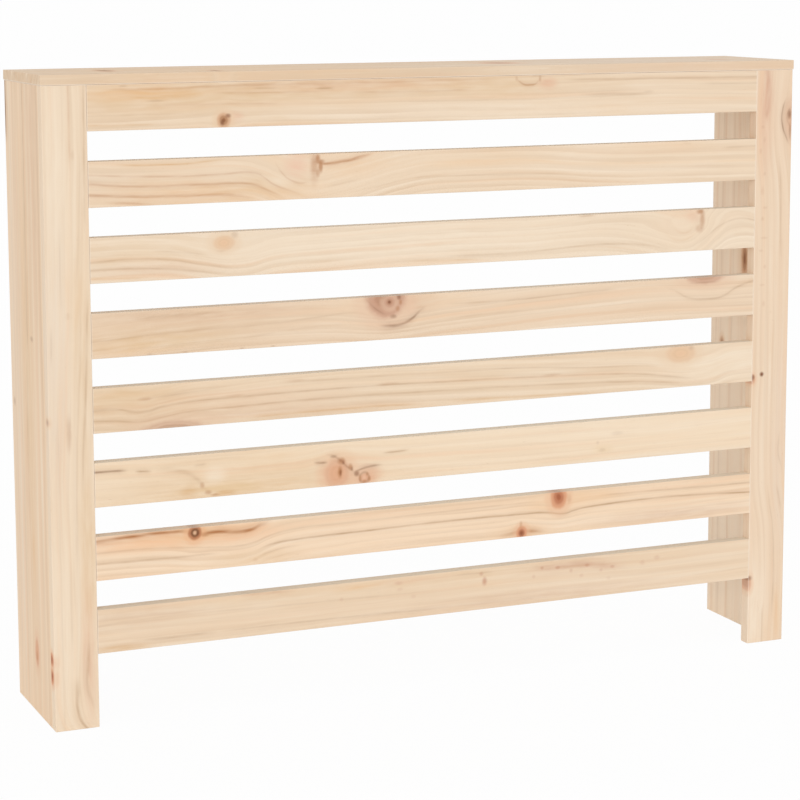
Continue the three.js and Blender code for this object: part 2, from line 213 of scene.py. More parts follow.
SLAT_MARKS = {
    1: [
        Patch(-160, 10, 420, 22, 0.5, "honey"),
        Patch(-400, 24, 190, 26, 0.4, "honey"),
        Patch(85, 18, 80, 18, 0.25, "honey"),
        Patch(-240, 48, 90, 12, 0.2, "honey"),
        Patch(80, 46, 200, 16, 0.25, "cream"),
        Patch(-412, 12, 85, 12, 0.55),
        Patch(-120, 8, 170, 9, 0.25, "rose"),
        Line([(-483, 39), (-400, 39), (-310, 41)], 0.12),
        Line([(-483, 51), (-380, 52)], 0.4, stain="ochre"),
        Line([(-470, 6), (-380, 7), (-300, 5), (-120, 5.5)], 0.3, 1.6, "rust"),
        Line([(-450, 15), (-380, 17), (-330, 14)], 0.3, 1.8, "ochre"),
        Line([(-330, 13), (-230, 15), (-150, 15)], 0.22, 1.1, "rust"),
        Line([(-140, 17), (-40, 18), (60, 17)], 0.2, 1.1, "rust"),
        Line([(-420, 29), (-300, 28), (-210, 30)], 0.16, 1.2, "rust"),
        Line([(-60, 31), (60, 32), (150, 31)], 0.16, 1.2),
        Line([(-200, 4), (-60, 5), (0, 4), (90, 5)], 0.2, stain="rust"),
        Line([(-267, 9), (-245, 9.5), (-224, 10.5)], 0.3, 1.0),
        Line([(-181, 11), (-150, 11.5)], 0.5, 1.0),
        Line([(107, 0), (115, 9), (130, 13), (142, 9), (147, 1)], 0.5, 1.4, "rust"),
        Fleck(110, 4, 2.2, 4, 0.2, "rust"),
        Fleck(145, 5, 2.2, 5, 0.35, "rust"),
        Line([(130, 1.2), (154, 1.8)], 0.3, 1.2),
        Line([(173, 7), (290, 8), (380, 8.5), (483, 9)], 0.28, 1.4),
        Line([(197, 27), (260, 28), (327, 29)], 0.42, 1.8),
        Line([(380, 17), (483, 18)], 0.25),
        Patch(157, 12, 16, 10, 0.6, "rose"),
        Patch(-290, 45, 14, 9, 0.5, "rose"),
        Knot(-304, 49, 8, 8.5, "brown"),
        Fleck(-298, 43, 4, 3, 0.6),
        Fleck(-306, 52, 3, 4, 0.6),
        Fleck(-436, 2.5, 6, 1.3),
        Fleck(-394, 22, 12, 1.6),
        Fleck(311, 26, 8, 2, 0.1),
    ],
    2: [
        Patch(-320, 50, 170, 18, 0.6, "apricot"),
        Patch(-130, 16, 60, 18, 0.35, "apricot"),
        Patch(-255, 38, 80, 17, 0.35, "honey"),
        Patch(220, 9, 120, 14, 0.3, "cream"),
        Patch(330, 6, 90, 8, 0.3, "apricot"),
        Patch(-206, 14, 19, 19, 0.7, "pink"),
        Line([(-238, 1), (-228, 20), (-208, 35), (-190, 35)], 0.28, 1.3, "rust"),
        Patch(-228, 34, 24, 10, 0.4, "cream"),
        Patch(-385, 30, 90, 14, 0.2),
        Patch(60, 19, 120, 8, 0.2),
        Patch(-181, 18, 7, 26, 0.55, "tan"),
        Line([(-465, 1), (-440, 5), (-382, 7), (-330, 5), (-292, 1)], 0.55, 1.2, "ochre"),
        Line(
            [(-483, 17), (-382, 22), (-310, 22), (-262, 22), (-236, 38), (-205, 50), (-190, 57)],
            0.3,
            1.4,
            "rust",
        ),
        Line([(-483, 28), (-406, 34), (-330, 34), (-268, 36), (-240, 47), (-218, 57)], 0.42, 1.6, "rust"),
        Line([(-483, 42), (-422, 46), (-345, 48), (-286, 50), (-255, 58)], 0.4, 2.0, "rust"),
        Line([(-470, 51), (-430, 54), (-390, 57)], 0.3, 1.6, "rust"),
        Line([(-192, 3), (-179, 10), (-168, 13), (-138, 10.5), (-115, 5.5), (-92, 0)], 0.75, 1.9, "rust"),
        Line([(-228, 22), (-217, 31), (-202, 37), (-186, 34)], 0.25, 1.3, "rust"),
        Line([(-172, 45), (-150, 41), (-113, 34)], 0.15),
        Line([(-140, 54), (-90, 45), (-42, 36), (0, 35), (100, 37), (200, 38)], 0.2),
        Line(
            [(-36, 17), (60, 17), (142, 19), (172, 23), (234, 26), (310, 28), (483, 30)],
            0.18,
            2.0,
            "amber",
        ),
        Line([(0, 48), (60, 49), (150, 53)], 0.08),
        Line([(364, 2), (382, 4)], 0.1),
        Line([(425, 11), (483, 10)], 0.27),
        Fleck(-181, 14, 5, 15, 0.25, "rust"),
        Fleck(-176, 6, 3.5, 6, 0.7, "rust"),
        Fleck(-171, 10, 5, 3, 0.6, "rust"),
        Fleck(-172, 17, 3, 8, 0.7, "rust"),
        Fleck(-176, 25, 3, 6, 0.4, "rust"),
    ],
    3: [
        Patch(-400, 44, 90, 12, 0.2, "rose"),
        Patch(-430, 20, 170, 30, 0.25, "honey"),
        Patch(-60, 26, 260, 40, 0.35, "cream"),
        Line([(-483, 31), (-382, 32), (-335, 41), (-283, 48)], 0.3),
        Line([(-483, 41), (-410, 42), (-350, 48), (-300, 56)], 0.34, 1.5),
        Line([(-406, 20), (-360, 24), (-322, 30)], 0.28),
        Line([(-483, 52), (-400, 54)], 0.25, stain="ochre"),
        Line([(-61, 51), (0, 52), (70, 54)], 0.35, stain="ochre"),
        Line([(0, 46), (132, 47), (200, 43), (247, 42), (308, 46), (340, 52), (364, 55)], 0.33, 1.5),
        Line([(370, 56), (398, 44), (426, 25), (453, 16), (483, 19)], 0.3),
        Line([(444, 38), (478, 38)], 0.12, 2.0, "ochre"),
        Line([(200, 1.5), (234, 1.5)], 0.3),
        Line([(330, 16), (342, 32), (362, 42), (384, 36), (400, 22)], 0.25, 1.6, "ochre"),
        Line([(346, 12), (356, 26), (370, 32), (384, 26), (392, 16)], 0.22, 1.4, "ochre"),
        Line([(-321, 22), (-306, 24), (-293, 17), (-286, 6)], 0.3, 1.3, "rust"),
        Knot(368, 18, 44, 24, "swirl", 0.35),
        Knot(-306, 14, 12.5, 8, "amber"),
        Fleck(-291, 4, 5, 4.5, 0.17),
        Patch(384, 8, 15, 12, 0.6, "rose"),
        Fleck(399, 13, 4.5, 15, 0.5, "rust"),
        Fleck(394, 27, 6, 6, 0.3, "rust"),
        Fleck(395, 3, 6, 4, 0.65, "rust"),
    ],
    4: [
        Patch(-390, 28, 220, 34, 0.25, "honey"),
        Patch(-330, 9, 190, 13, 0.3, "tan"),
        Patch(-390, 34, 220, 20, 0.15, "tan"),
        Patch(-442, 49, 60, 10, 0.3, "amber"),
        Patch(-42, 10, 42, 16, 0.45, "tan"),
        Patch(-60, 8, 130, 18, 0.3, "apricot"),
        Patch(-400, 40, 120, 13, 0.25, "olive"),
        Line([(-477, 36), (-360, 30), (-237, 26.5), (-175, 22), (-120, 20), (-98, 28), (-79, 39)], 0.2),
        Line([(-96, 37), (-80, 39.5), (-64, 39.5), (-45, 33), (-30, 21), (-20, 16)], 0.6, 2.2, "bark"),
        Line([(-112, 0), (-103, 9), (-93, 18), (-78, 26)], 0.25, 1.5, "bark"),
        Line(
            [(-483, 47), (-290, 44), (-221, 37), (-160, 34), (-113, 37), (-73, 46), (-40, 48), (0, 44)],
            0.12,
        ),
        Line([(-450, 11), (-380, 8), (-300, 7)], 0.25, 2.0),
        Line([(0, 15), (123, 15), (185, 12), (278, 9)], 0.28),
        Line([(0, 37), (31, 34), (139, 31)], 0.2),
        Line([(336, 9), (355, 16), (379, 28), (410, 31), (432, 29), (456, 17), (483, 9)], 0.36, 1.6),
        Knot(-81, 2, 24, 23, "plum"),
        Knot(-76, 8, 7, 6.5, "plum"),
        Fleck(-76, 8, 2.5, 2.5, 0.6),
        Fleck(-62, 2, 3, 4, 0.55),
        Fleck(-60, 9, 2.5, 4, 0.5, "rust"),
        Fleck(-64, 17, 3, 4, 0.4, "rust"),
        Patch(-45, 15, 9, 13, 0.35, "pink"),
        Knot(405, -3, 26, 11, "plum", 0.8),
        Fleck(-70, 27.5, 5, 3, 0.45),
        Fleck(404, 7.5, 22, 1.6, 0.17),
        *[Fleck(along, 56.5, 4, 1.4, 0.2) for along in (-408, -360, -283, -240)],
    ],
    5: [
        Patch(-450, 25, 160, 36, 0.4, "honey"),
        Patch(440, 30, 130, 34, 0.4, "cream"),
        Patch(-300, 30, 200, 22, 0.15, "rose"),
        Patch(-440, 12, 60, 13, 0.4, "honey"),
        Patch(-240, 48, 270, 12, 0.2, "tan"),
        Patch(160, 28, 90, 12, 0.3, "cream"),
        *[
            Patch(along, across, 16, 2.5, 0.3, "rust")
            for along, across in ((-295, 22), (-212, 8), (-79, 22), (165, 27))
        ],
        Line([(-475, 28), (-449, 29), (-434, 33), (-412, 34), (-391, 29), (-360, 24.5)], 0.42, 1.6),
        Line(
            [
                *[(-400, 32), (-360, 25.5), (-310, 24.5), (-100, 23), (0, 24.5), (154, 28)],
                *[(293, 34), (340, 40), (395, 48)],
            ],
            0.4,
        ),
        Line(
            [
                *[(-483, 42), (-452, 44), (-422, 47), (-391, 43), (-360, 39), (-298, 37)],
                *[(-205, 35), (0, 36.5), (123, 39), (293, 45), (340, 49), (380, 54)],
            ],
            0.36,
        ),
        Line([(-418, 18), (-400, 17), (-350, 13), (-290, 9)], 0.27),
        Line([(-283, 53), (-150, 51), (-60, 52), (-25, 54)], 0.4, stain="ochre"),
        Line([(-250, 10), (-100, 10.5), (0, 12), (123, 14), (216, 20), (324, 25), (342, 28)], 0.24),
        Line([(0, 52), (150, 54), (260, 57)], 0.35, stain="ochre"),
        Line([(416, 53), (438, 42), (462, 41)], 0.1),
        Knot(-377, 60, 38, 10, "walnut", 0.75),
        Knot(367, 10, 20, 11, "amber"),
        Fleck(-414, 18, 10, 2.6, 0.28, "rust"),
        Fleck(384, 3, 5, 4, 0.17),
    ],
    6: [
        Patch(-290, 48, 230, 22, 0.5, "honey"),
        Patch(-290, 16, 220, 22, 0.25, "honey"),
        Patch(260, 14, 200, 20, 0.25, "cream"),
        Patch(-305, 47, 60, 9, 0.3, "olive"),
        Patch(-322, 28, 17, 12, 0.6, "cream"),
        Patch(-309, 54, 17, 5, 0.6, "ochre"),
        Patch(-358, 48, 13, 10, 0.35, "ochre"),
        Patch(-135, 44, 46, 24, 0.35, "rose"),
        Patch(245, 40, 18, 6, 0.3, "olive"),
        Line([(-479, 12), (-458, 12), (-438, 13)], 0.52, 1.5, "bark"),
        Line([(-431, 15), (-406, 17)], 0.75, 1.4),
        Line([(-410, 18), (-360, 23), (-345, 34), (-332, 50), (-322, 57)], 0.25, 3.5),
        Line([(-354, 15), (-332, 13)], 0.3, 1.3),
        Line([(-390, 10), (-300, 8), (-260, 10)], 0.1),
        Line([(-186, 24), (-164, 26)], 0.5, 1.6, "bark"),
        Line([(-89, 19), (-60, 18.5), (-45, 17.5)], 0.55, 1.1),
        Patch(-152, 42, 27, 22, 0.85, "salmon"),
        Patch(-108, 49, 22, 14, 0.7, "salmon"),
        Knot(-152, 41, 15, 17, "red", 0.75),
        Knot(-113, 50, 7, 7, "eye", 0.35),
        Fleck(-113, 55, 3.5, 2, 0.5, "rust"),
        Fleck(-109, 46, 2, 3, 0.4, "rust"),
        Fleck(-106, 52, 2.5, 4, 0.5, "rust"),
        Line([(-170, 14), (-156, 18), (-146, 25), (-137, 34), (-124, 43), (-118, 46)], 0.3, 2.0, "bark"),
        Line([(-134, 45), (-120, 39), (-106, 36), (-84, 35)], 0.5, 1.5, "bark"),
        Fleck(-157, 18, 5, 2.2, 0.35),
        Fleck(-146, 25, 6, 5, 0.65, "rust"),
        Fleck(-143, 27, 2, 3, 0.4),
        Fleck(-133, 34, 3.5, 5, 0.6, "rust"),
        Fleck(-131, 37, 2, 3, 0.45),
        Fleck(-124, 44, 4, 4, 0.6),
        Fleck(-119, 51, 2, 5, 0.45, "rust"),
        Fleck(-148, 40, 3.5, 8, 0.85, "rust"),
        Fleck(-147, 41, 2, 5, 0.5),
        Fleck(-340, 41, 3.5, 4.5, 0.4, "rust"),
        Fleck(-332, 51, 5, 3, 0.45, "rust"),
        Fleck(-322, 55, 6, 2, 0.4, "rust"),
        Fleck(268, 20, 10, 3.5, 0.1),
        Fleck(237, 31, 3, 3, 0.12),
        Fleck(244, 42, 6, 3, 0.14),
    ],
    7: [
        Patch(-372, 11, 140, 18, 0.5, "apricot"),
        Patch(-385, 11, 130, 16, 0.6, "melon"),
        Patch(-295, 14, 60, 13, 0.5, "melon"),
        Patch(-360, 10, 130, 15, 0.3, "amber"),
        Patch(-350, 8, 30, 10, 0.6, "amber"),
        Patch(230, 10, 60, 12, 0.3, "amber"),
        Patch(-270, 48, 70, 12, 0.35, "honey"),
        Patch(370, 48, 140, 14, 0.3, "tan"),
        Patch(175, 14, 70, 20, 0.45, "apricot"),
        Patch(120, 50, 50, 14, 0.5, "apricot"),
        Patch(-300, 10, 40, 8, 0.5, "apricot"),
        Line([(-483, 7), (-437, 4), (-380, 3), (-350, 6), (-335, 9)], 0.85, 2.4, "rust"),
        Line(
            [(-362, 6), (-343, 9), (-320, 8.5), (-295, 11), (-273, 9.5), (-258, 4.5), (-240, 1.5)],
            1.0,
            2.4,
            "rust",
        ),
        Line(
            [
                *[(-483, 22), (-406, 22.5), (-345, 27), (-286, 30), (-271, 28), (-249, 21)],
                *[(-221, 16), (-144, 14), (0, 11.5), (154, 10)],
            ],
            0.24,
        ),
        Line([(-483, 36), (-406, 37), (-310, 37)], 0.4, 1.5),
        Line(
            [
                *[(-270, 52), (-261, 37), (-237, 31), (-206, 29), (-98, 27), (0, 25)],
                *[(123, 26), (160, 27), (185, 31), (200, 28), (222, 25), (483, 27)],
            ],
            0.6,
        ),
        Line([(-268, 50), (-250, 43), (-200, 37)], 0.25),
        Line([(-268, 54), (-240, 50), (-190, 48)], 0.1),
        Line([(234, 10), (483, 13)], 0.3),
        Line([(80, 54), (104, 52), (120, 50), (136, 51), (163, 53)], 0.6, 2.6, "rust"),
        Knot(-351, 7, 8, 8, "ringed"),
        Fleck(-347, 8, 2.5, 4, 0.5),
        Fleck(-338, 11, 6, 3, 0.45, "rust"),
        Knot(177, 7, 11, 14, "russet"),
        Fleck(193, 11, 4, 7, 0.2, "rust"),
        Knot(120, 52, 7, 8, "russet"),
        Fleck(120, 53, 4, 5, 0.5),
        Fleck(-268, 51, 4, 3, 0.15, "rust"),
        Fleck(119, 40, 2.5, 5, 0.33, "rust"),
    ],
    8: [
        Patch(-452, 54, 42, 7, 0.45, "ochre"),
        Patch(-125, 7, 38, 5, 0.4),
        Patch(-40, 6, 60, 5, 0.25, "rose"),
        Patch(-60, 8, 450, 16, 0.25, "honey"),
        Patch(140, 48, 220, 13, 0.25, "tan"),
        Patch(-420, 14, 90, 16, 0.2, "tan"),
        Patch(200, 10, 110, 12, 0.15, "tan"),
        Line([(-483, 22), (-434, 19), (-175, 22), (0, 24)], 0.15),
        Line([(-443, 43), (-422, 46), (-382, 47), (-310, 46)], 0.38, 1.8),
        Line([(-330, 46.5), (-144, 47), (0, 50)], 0.27),
        Line([(-300, 1), (-206, 3)], 0.27, 2.0, "rust"),
        Line([(12, 6), (86, 6.5)], 0.27),
        Line([(128, 7), (170, 10), (200, 9), (240, 14), (290, 21)], 0.26, 4.0, "brick"),
        *[
            Fleck(along, across, length, breadth, tone, "brick")
            for along, across, length, breadth, tone in (
                (152, 9, 3, 2.5, 0.3),
                (176, 11, 4, 2.5, 0.35),
                (222, 12, 4, 2.5, 0.3),
                (262, 18, 4, 2.5, 0.25),
                (-64, 8, 7, 3, 0.17),
                (-62, 17, 5, 2.5, 0.12),
                (-147, 22, 3, 3, 0.12),
                (-42, 29, 4, 3, 0.1),
                (64, 19, 4, 6.5, 0.5),
                (59, 8, 3.5, 3, 0.3),
                (139, 20, 3, 3, 0.14),
                (197, 17, 3, 3, 0.2),
                (213, 26, 4, 3, 0.14),
                (244, 21, 3, 3, 0.16),
                (310, 17, 5, 4, 0.15),
                (333, 12, 5, 3.5, 0.15),
                (256, 34, 4, 3, 0.1),
            )
        ],
    ],
}

LEFT_STILE_MARKS = [
    Patch(105, 46, 105, 10, 0.4, "rose"),
    Patch(240, 48, 130, 15, 0.45, "honey"),
    Patch(130, 10, 160, 20, 0.35, "cream"),
    Patch(500, 46, 160, 16, 0.25, "honey"),
    Line([(1, 41), (10, 34), (20, 30), (50, 29.5), (74, 30)], 0.45, 2.6),
    Line([(16, 56), (30, 50), (53, 43.5), (85, 44), (132, 49)], 0.35, 2.6),
    Line([(0, 12), (200, 11.5), (413, 12)], 0.12),
    Line([(95, 24), (240, 24)], 0.15),
    Line([(195, 33), (300, 34), (413, 38), (480, 43), (560, 44)], 0.12),
    Line([(295, 42), (360, 44), (413, 47.5), (500, 51), (577, 54.5)], 0.3, 1.5),
    Line([(471, 5), (530, 6)], 0.15),
    Line([(527, 19.5), (600, 19), (667, 19.5)], 0.2),
    Line([(532, 28), (543, 28)], 0.3),
    Line([(717, 34.5), (760, 34.5), (826, 34.5)], 0.2, 1.5, "rust"),
    Line([(560, 38), (640, 44), (760, 48)], 0.12),
    Line([(640, 52), (826, 54)], 0.35),
    Patch(480, 12, 200, 20, 0.4, "ash"),
    Knot(71, 0, 10, 6, "russet", 1.0, (12, 7)),
    Knot(93, 0, 8, 6, "russet", 1.0, (12, 7)),
    Knot(403, 0, 5, 3, "brown", 0.5, (6, 6)),
    Patch(680, 15, 190, 20, 0.35, "cream"),
    Fleck(740, 38.5, 7, 2.6, 0.12, "rust"),
    Fleck(388, 26, 24, 4, 0.27, "rust"),
]

RIGHT_STILE_MARKS = [
    Patch(40, 48, 42, 7, 0.35),
    Patch(40, 12, 110, 24, 0.5, "cream"),
    Patch(760, 14, 85, 16, 0.4, "rose"),
    Line([(5, 24), (58, 24)], 0.27),
    Line([(26, 39), (169, 39), (205, 33), (237, 29)], 0.27),
    Line([(190, 53), (215, 48), (235, 43)], 0.2),
    Line([(245, 54), (262, 50), (277, 46), (300, 47), (316, 50)], 0.25),
    Line([(540, 46), (600, 43), (661, 42), (720, 36)], 0.24),
    Line([(748, 16), (795, 19), (827, 18)], 0.26, 4.0, "brick"),
    Patch(300, 48, 180, 16, 0.4, "ash"),
    Knot(89, -2, 10, 6, "russet", 0.6),
    Fleck(97, 1, 4, 5, 0.6),
    Knot(388, 1, 6, 4, "russet", 0.6),
    Fleck(391, 2, 4, 3, 0.6),
    Patch(758, 56, 26, 10, 0.6, "salmon"),
    Knot(758, 60, 30, 15, "plum", 0.25),
    Line([(716, 58), (732, 49), (752, 42), (768, 42), (790, 50)], 0.5, 1.3, "bark"),
    Line([(744, 57), (752, 52), (762, 50), (770, 53), (778, 57)], 0.3, 1.0, "bark"),
    Fleck(764, 54, 7, 3.5, 0.6),
    Fleck(740, 55, 12, 2, 0.35),
    Fleck(394, 16, 3.6, 3.4, 0.95),
    *[
        Fleck(along, across, length, breadth, 0.14, "rust")
        for along, across, length, breadth in (
            (496, 17, 5, 3),
            (523, 14, 2, 5),
            (549, 18, 3, 2.5),
            (572, 11, 2, 3.5),
            (590, 16, 2, 6),
            (617, 13, 3, 3),
            (633, 17, 2, 4),
            (657, 12, 7, 3),
            (681, 15, 3, 2.5),
            (713, 8, 4, 2.5),
            (729, 14, 5, 2.5),
            (747, 11, 3, 3),
            (765, 16, 6, 2.5),
        )
    ],
]

LEFT_PANEL_MARKS = [
    Patch(215, 73, 60, 8, 0.4),
    Patch(300, 95, 160, 14, 0.2, "rose"),
    Patch(420, 85, 340, 36, 0.4, "honey"),
    Patch(750, 30, 260, 48, 0.22, "tan"),
    # painted shadow: a dark line along the panel's rear edge under the top board
    Line([(740, 167), (790, 168), (826, 168)], 0.7, 4.0, "bark"),
    Line([(470, 80), (650, 79.5), (826, 79)], 0.3, 2.8),
    Line([(240, 93), (330, 92), (470, 84)], 0.15, 2.4),
    Line([(0, 12), (300, 9), (826, 8)], 0.12, 2.4),
    Line([(0, 118), (250, 116), (500, 122), (826, 120)], 0.12, 2.0),
    Line([(0, 150), (300, 148), (826, 155)], 0.1, 2.0),
    Knot(83, 69, 17, 8, "red"),
    Fleck(77, 70, 8, 4, 0.4, "rust"),
    Patch(400, 145, 430, 42, 0.3, "ash"),
    Fleck(500, 58, 4, 8, 0.3),
    Fleck(403, 157, 6, 6, 0.3),
]

RIGHT_PANEL_MARKS = [
    Patch(640, 50, 260, 24, 0.3, "ochre"),
    Patch(250, 90, 300, 80, 0.4, "cream"),
    Line([(0, 66), (300, 69), (620, 68), (826, 70)], 0.2, 2.0),
    Line([(0, 30), (300, 34), (620, 28), (826, 30)], 0.12, 2.0),
    Line([(0, 112), (260, 118), (520, 110), (826, 114)], 0.12, 2.0),
    Line([(0, 140), (400, 144), (826, 140)], 0.12, 2.0),
    Knot(548, 78, 27, 8, "brown"),
    Knot(417, 139, 8, 5, "brown", 0.8),
]

TOP_MARKS = [
    Patch(-300, 120, 300, 100, 0.3, "amber"),
    Patch(360, 100, 300, 110, 0.5, "ash"),
    Patch(-200, 20, 400, 40, 0.2, "tan"),
    Line([(-542, 60), (-200, 66), (100, 60), (542, 64)], 0.2, 2.0),
    Patch(460, 118, 18, 30, 0.5, "rose"),
    Knot(128, 94, 22, 28, "russet", 0.45),
    Line([(-542, 128), (-100, 122), (300, 130), (542, 126)], 0.2, 2.0),
    Knot(-433, 96, 12, 28, "brown", 0.75),
    Knot(-304, 158, 7, 22, "brown", 0.6),
    Fleck(458, 108, 7, 6, 0.12),
]

# how far the grain drifts across each board, in (place along, millimetres) points
FLOWS = {
    "slat_2": [
        *[(-483, 0), (-382, 5), (-280, 6), (-255, 12), (-236, 21), (-205, 33), (-180, 37), (-150, 33)],
        *[(-113, 25), (-60, 12), (-20, 6), (60, 5), (150, 6), (230, 11), (310, 14), (483, 16)],
    ],
    "slat_3": [
        *[(-483, 0), (-382, 2), (-335, 10), (-283, 16), (-230, 7), (-175, 5), (0, 1), (133, 2)],
        *[(200, -2), (247, -3), (308, 1), (340, 7), (367, 11), (398, 0), (426, -19), (453, -28)],
        (483, -25),
    ],
    "slat_4": [
        *[(-477, 0), (-360, -6), (-237, -9), (-120, -10), (0, -10)],
        *[(139, -16), (278, -20), (483, -20)],
    ],
    "slat_5": [
        *[(-483, 0), (-452, 2), (-422, 5), (-391, 1), (-360, -3), (-298, -5), (-205, -7), (0, -5)],
        *[(123, -2), (293, 4), (340, 8), (380, 12), (415, 11), (450, 3), (483, 1)],
    ],
    "slat_7": [
        *[(-483, 0), (-406, 0.5), (-345, 5), (-286, 8), (-271, 6), (-249, -1), (-221, -6), (-144, -8)],
        *[(0, -10), (483, -10)],
    ],
    "left_stile": [(0, 14), (20, 4), (53, 0), (132, 3), (300, 0), (413, 5), (577, 12), (827, 14)],
    "right_stile": [
        *[(0, 0), (169, 0), (205, -6), (237, -10)],
        *[(540, -8), (661, -12), (720, -18), (827, -18)],
    ],
}

# axes 0, 1, 2 stand for X, Y, Z. edge says from which face across is measured, ring is the mean ring
# spacing, contrast is how much the rings show, and pith lies at (across, through) the board.
Board = namedtuple("Board", "node along across edge tone ring contrast pith marks")


def boards():
    """Every board of the cover, with its grain's direction, tone and marks."""
    slats = [
        (1, (236, 213, 186), 8.5, 0.9),
        (2, (237, 214, 187), 8.5, 0.8),
        (3, (239, 219, 194), 8.5, 0.8),
        (4, (235, 211, 184), 8.0, 0.9),
        (5, (236, 213, 185), 9.0, 0.9),
        (6, (241, 219, 191), 9.0, 0.4),
        (7, (244, 218, 189), 8.5, 0.9),
        (8, (235, 211, 183), 8.5, 0.5),
    ]
    made = [
        Board(f"slat_{row}", X, Z, "high", tone, ring, contrast, (-20, 26), SLAT_MARKS[row])
        for row, tone, ring, contrast in slats
    ]
    made += [
        Board("left_stile", Z, X, "low", (238, 216, 189), 8.0, 0.4, (-22, 30), LEFT_STILE_MARKS),
        Board("right_stile", Z, X, "low", (236, 211, 184), 8.5, 0.5, (84, 28), RIGHT_STILE_MARKS),
        Board("left_side_panel", Z, Y, "low", (239, 211, 180), 11.0, 0.5, (70, 60), LEFT_PANEL_MARKS),
        # painted light: the right side panel's tone is painted paler, lifting the shade on its inner face
        # inside the cover
        Board("right_side_panel", Z, Y, "low", (250, 231, 208), 12.0, 0.5, (96, 55), RIGHT_PANEL_MARKS),
        Board("top_board", X, Y, "high", (229, 205, 177), 12.0, 0.8, (88, 60), TOP_MARKS),
        Board("left_corner_batten", Z, X, "low", (228, 198, 164), 4.0, 1.2, (-30, 10), []),
        Board("right_corner_batten", Z, X, "high", (230, 202, 170), 4.5, 1.2, (-34, 6), []),
        Board("left_top_cleat", Y, X, "low", (229, 200, 168), 4.0, 1.2, (-28, 14), []),
        Board("right_top_cleat", Y, X, "high", (226, 197, 164), 4.5, 1.2, (-32, 12), []),
    ]
    return made


# ------------------------------------------------------------------ pine

CURVE_REACH = 90.0  # millimetres across the board that half of a curve's own square stands for
LINE_CORE = 1.6  # a growth line's dark core and soft side, in widths of the line
LINE_SIDE = 5.0
SIDE_SHARE = 0.3
LONGEST_FADE = 45.0  # a line thins out towards its ends, over this length
FADE_SHARE = 0.35  # or over this share of the line, where that is shorter
BOARD_END = 10.0  # but it runs on past the board's own end, when it comes this near


def line_share(line, along, across, board_ends):
    """How much a growth line colours the wood, from its core to its soft sides."""
    aside = (across - curve_through(along, line.points, CURVE_REACH)).math("ABSOLUTE")
    core = aside.ramp(0.0, LINE_CORE * line.width, (1.0 - SIDE_SHARE) * line.tone, 0.0)
    share = core + aside.ramp(0.0, LINE_SIDE * line.width, SIDE_SHARE * line.tone, 0.0)
    start, end = line.points[0][0], line.points[-1][0]
    fade = min(LONGEST_FADE, FADE_SHARE * (end - start))
    low, high = board_ends
    if start > low + BOARD_END:
        share = share * along.ramp(start - 1.0, start + fade)
    else:
        share = share * along.ramp(start - BOARD_END - 1.0, start - BOARD_END)
    if end < high - BOARD_END:
        share = share * along.ramp(end - fade, end + 1.0, 1.0, 0.0)
    return share


def ellipse(mark, along, across):
    """0 at a mark's centre and 1 on its outline."""
    return ((along - mark.along) / mark.length).hypot((across - mark.across) / mark.breadth)


PUSH = 0.6  # how far a knot pushes the grain aside, in half breadths of the knot
PUSH_LENGTH = 2.4  # and how far off it is felt, in half lengths and half breadths
PUSH_BREADTH = 3.5
SIDE_SOFTNESS = 0.5


def pushed_aside(knot, along, across):
    """How far the grain is pushed off a knot's axis, as it flows round it."""
    beside = (across - knot.across) / knot.breadth
    side = beside / (beside.math("ABSOLUTE") + SIDE_SOFTNESS)
    near = ((along - knot.along) / (PUSH_LENGTH * knot.length)) ** 2.0 + (beside / PUSH_BREADTH) ** 2.0
    return side * (near * -1.0).math("EXPONENT") * (PUSH * knot.breadth)


# where a knot's heart, body, outline and halo lie and where the halo ends, in the knot's own size
KNOT_RADII = (0.12, 0.5, 0.95, 1.45, 2.4)
HALO_SHARE = 0.5
RING_TURNS = 15.0  # how close together a knot's own rings lie
RINGS_FADE = (0.25, 1.5)  # and where they begin and end fading


def paint_knot(colour, knot, place, ragged):
    along, across, depth = place
    reach = ellipse(knot, along, across)
    if knot.depth:
        middle, half = knot.depth
        reach = reach.hypot((depth - middle) / half)
    reach = reach + ragged
    look = KNOT_LOOKS[knot.look]
    tree = along.tree
    shades = tree.nodes.new("ShaderNodeValToRGB")
    shades.color_ramp.interpolation = "EASE"
    stops = shades.color_ramp.elements
    while len(stops) < len(KNOT_RADII):
        stops.new(0.5)
    steps = (
        (look.heart, knot.strength),
        (look.body, knot.strength),
        (look.outline, knot.strength),
        (look.halo, HALO_SHARE * knot.strength),
        (look.halo, 0.0),
    )
    for stop, radius, (shade, alpha) in zip(stops, KNOT_RADII, steps):
        stop.position = radius / KNOT_RADII[-1]
        stop.color = linear(shade, alpha)
    connect(tree, reach / KNOT_RADII[-1], shades.inputs[0])
    colour = mix(colour, shades.outputs["Color"], Field(tree, shades.outputs["Alpha"]))
    if look.rings:
        turns = (reach * RING_TURNS).math("SINE") * 0.5 + 0.5
        share = turns * reach.ramp(*RINGS_FADE, look.rings * knot.strength, 0.0)
        colour = mix(colour, STAINS["bark"], share)
    return colour


PATCH_FADE = (0.1, 1.35)  # where a patch and a fleck begin and end fading, in their own size
FLECK_FADE = (0.2, 1.4)
FLECK_RAGGED = 2.0  # a fleck's outline is this much more ragged than a knot's


